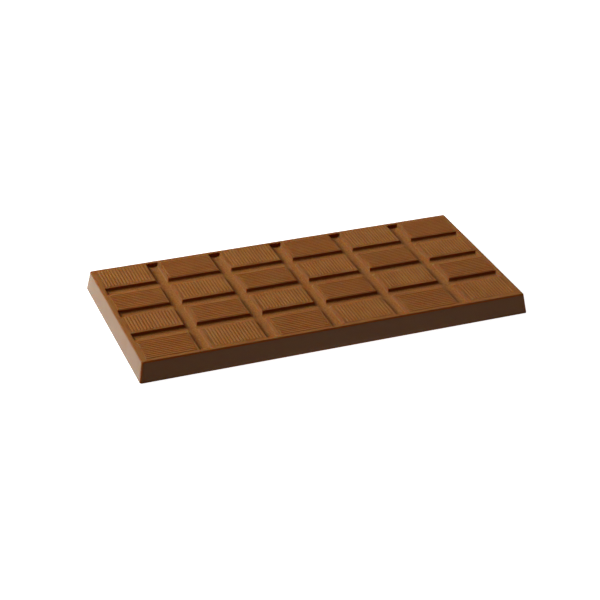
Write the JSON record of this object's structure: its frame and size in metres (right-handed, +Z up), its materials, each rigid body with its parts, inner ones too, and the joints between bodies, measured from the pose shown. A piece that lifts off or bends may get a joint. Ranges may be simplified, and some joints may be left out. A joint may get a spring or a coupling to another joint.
{
  "type": "chocolate bar",
  "caption": "Moulded milk chocolate bar: a thin slab with leaning sides, divided by shallow grooves into segments whose fine ribs change direction from one to the next.",
  "frame": {"origin": "middle of the flat base", "axes": "+X along the bar's length, +Y across it, +Z up through the ribbed top"},
  "size_m": [0.15, 0.0722, 0.0079],
  "materials": {
    "milk_chocolate": "satin milk chocolate"
  },
  "bodies": {
    "root": {"chocolate_bar": "milk_chocolate"}
  },
  "joints": []
}
